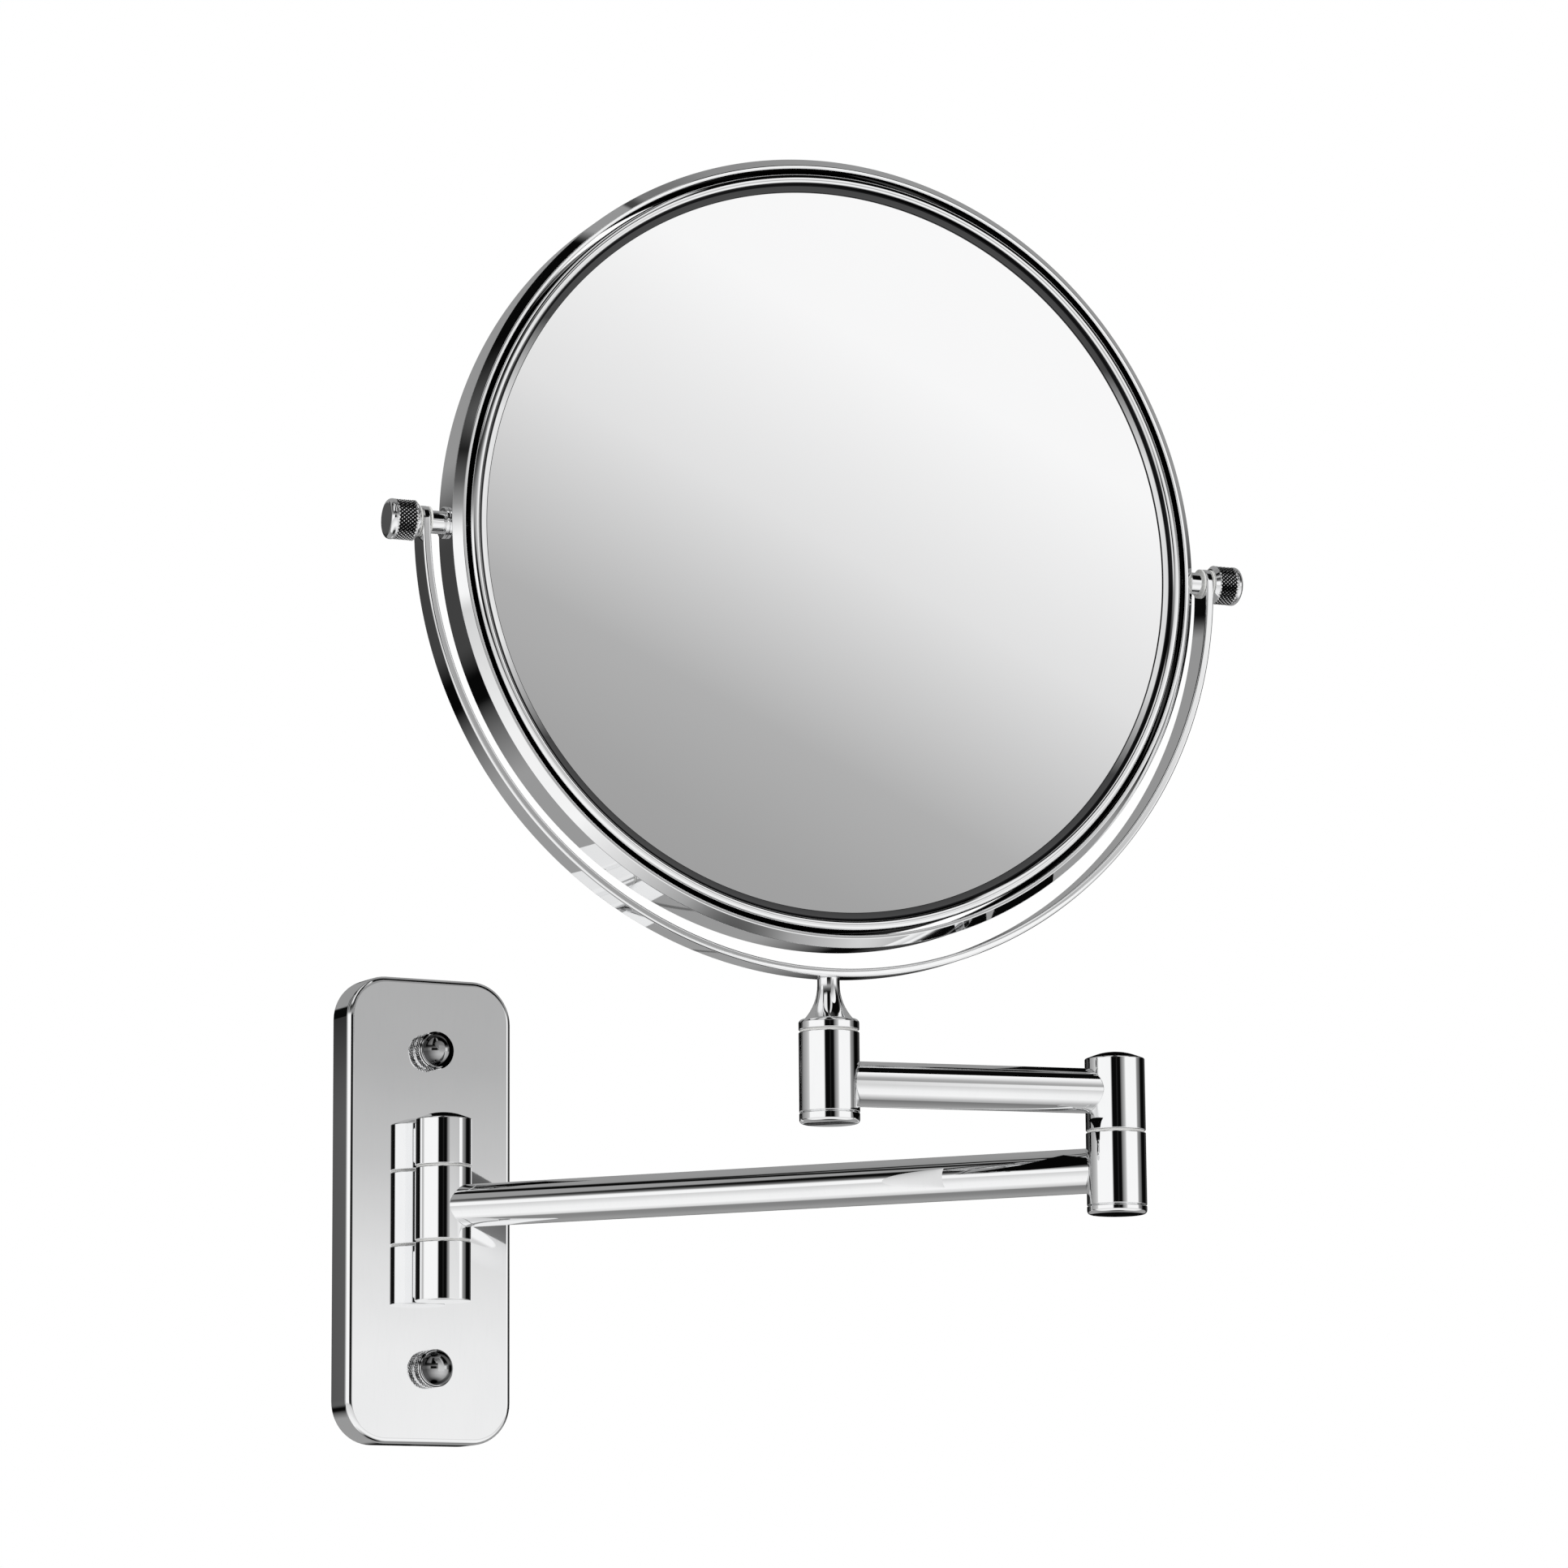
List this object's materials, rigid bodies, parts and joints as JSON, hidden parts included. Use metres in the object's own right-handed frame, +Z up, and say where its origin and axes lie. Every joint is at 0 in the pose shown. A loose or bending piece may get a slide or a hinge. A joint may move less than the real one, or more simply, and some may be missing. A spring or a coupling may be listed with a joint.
{
  "type": "extendable shaving mirror",
  "caption": "Round two-sided shaving mirror in a U-shaped yoke on a two-part swinging arm, with a rounded wall plate, knurled thumb knobs and domed plate nuts.",
  "frame": {"origin": "centre of the wall bracket's back face, which lies on the wall", "axes": "+Y into the wall, normal to its face; +X to the right for someone facing the wall; +Z up, along the three upright hinge axes"},
  "size_m": [0.2453, 0.1944, 0.3356],
  "materials": {
    "polished_chrome": "mirror-bright polished plating",
    "knurled_chrome": "bright plating over diamond knurling with smooth rounded ends",
    "mirror_glass": "silvered glass with polished front",
    "zinc_steel": "zinc-plated steel, dull, hidden behind the plate and in the barrels",
    "turned_brass": "turned brass, unplated, inside the barrels",
    "white_nylon": "moulded nylon, satin",
    "black_plastic": "moulded plastic, matt",
    "grey_foam": "closed-cell foam"
  },
  "bodies": {
    "wall_mount": {"wall_bracket": "zinc_steel", "plate_studs": "zinc_steel", "cover_plate": "polished_chrome", "backing_plate": "zinc_steel", "cap_nuts": "knurled_chrome", "upper_wall_barrel": "polished_chrome", "lower_wall_barrel": "polished_chrome", "wall_barrel_screws": "zinc_steel", "wall_hinge_pin": "zinc_steel", "wall_hinge_plug": "polished_chrome"},
    "lower_arm": {"arm_knuckle": "polished_chrome", "upper_knuckle_bush": "white_nylon", "lower_knuckle_bush": "white_nylon", "lower_arm_tube": "polished_chrome", "lower_elbow_barrel": "polished_chrome", "elbow_bush": "white_nylon", "elbow_cap": "polished_chrome"},
    "upper_arm": {"upper_elbow_barrel": "polished_chrome", "elbow_pin": "turned_brass", "elbow_wave_washer": "zinc_steel", "elbow_screw": "zinc_steel", "upper_arm_tube": "polished_chrome", "head_barrel": "polished_chrome", "head_bush": "white_nylon", "head_cap": "polished_chrome"},
    "yoke": {"yoke_stem": "polished_chrome", "head_spindle": "turned_brass", "head_wave_washer": "zinc_steel", "head_screw": "zinc_steel", "yoke_band": "polished_chrome", "knob_washers": "white_nylon"},
    "mirror_head": {"rim_band": "polished_chrome", "front_bezel": "polished_chrome", "rear_bezel": "polished_chrome", "plain_glass": "mirror_glass", "magnifying_glass": "mirror_glass", "spacer_ring": "black_plastic", "backing_pad": "grey_foam", "left_pivot": "polished_chrome", "right_pivot": "polished_chrome", "pivot_nuts": "zinc_steel", "pivot_washers": "white_nylon"},
    "left_knob": {"left_knob": "knurled_chrome"},
    "right_knob": {"right_knob": "knurled_chrome"}
  },
  "joints": [
    {"name": "wall_hinge", "type": "hinge", "parent": "wall_mount", "child": "lower_arm", "pos_m": [0, -0.0195, 0], "axis": [0, 0, 1], "range_deg": [-125, 54]},
    {"name": "elbow_hinge", "type": "hinge", "parent": "lower_arm", "child": "upper_arm", "pos_m": [0.11904, -0.18639, 0], "axis": [0, 0, 1], "continuous": true},
    {"name": "head_swivel", "type": "hinge", "parent": "upper_arm", "child": "yoke", "pos_m": [0.04057, -0.17085, 0], "axis": [0, 0, 1], "continuous": true},
    {"name": "mirror_tilt", "type": "hinge", "parent": "yoke", "child": "mirror_head", "pos_m": [0.04057, -0.17085, 0.1628], "axis": [0.9945, -0.1045, 0], "continuous": true},
    {"name": "left_knob_turn", "type": "hinge", "parent": "mirror_head", "child": "left_knob", "pos_m": [-0.07679, -0.15852, 0.1628], "axis": [-0.9945, 0.1045, 0], "range_deg": [0, 180]},
    {"name": "right_knob_turn", "type": "hinge", "parent": "mirror_head", "child": "right_knob", "pos_m": [0.15792, -0.18319, 0.1628], "axis": [0.9945, -0.1045, 0], "range_deg": [0, 180]}
  ]
}
